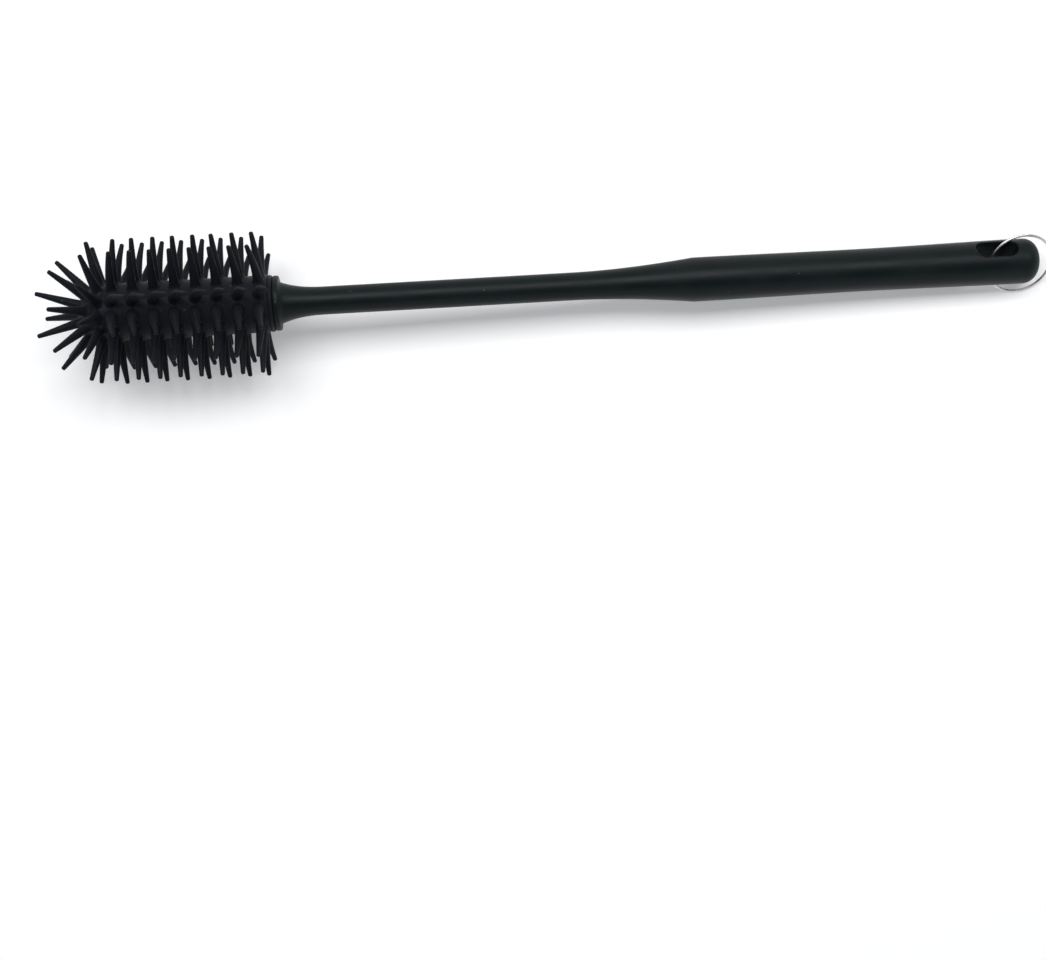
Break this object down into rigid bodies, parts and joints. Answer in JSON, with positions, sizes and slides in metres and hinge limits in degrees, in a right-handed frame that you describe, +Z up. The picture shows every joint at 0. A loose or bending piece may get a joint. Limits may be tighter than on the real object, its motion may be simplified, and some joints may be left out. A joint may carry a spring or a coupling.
{
  "type": "bottle brush",
  "caption": "Black silicone bottle brush: a soft head with rings of tapered pins over a rounded nose, on a slim one-piece handle whose grip has a hanging slot with a wire ring.",
  "frame": {"origin": "on the floor, under the middle of the brush's whole length and width, as it lies at rest", "axes": "+Z up from the floor; +X along the brush from the head's nose to the hanging ring; +Y across, to the side that the hanging slot's upper mouth leans to"},
  "size_m": [0.3222, 0.044, 0.0467],
  "materials": {
    "black_plastic": "satin",
    "black_silicone": "matt",
    "steel_wire": "bright drawn wire"
  },
  "bodies": {
    "brush": {"handle": "black_plastic", "brush_head": "black_silicone"},
    "ring": {"hanging_ring": "steel_wire"}
  },
  "joints": [
    {"name": "ring_rock", "type": "hinge", "parent": "brush", "child": "ring", "pos_m": [0.15047, 0, 0.00722], "axis": [0.9982, 0, -0.0607], "range_deg": [0, 38]}
  ]
}
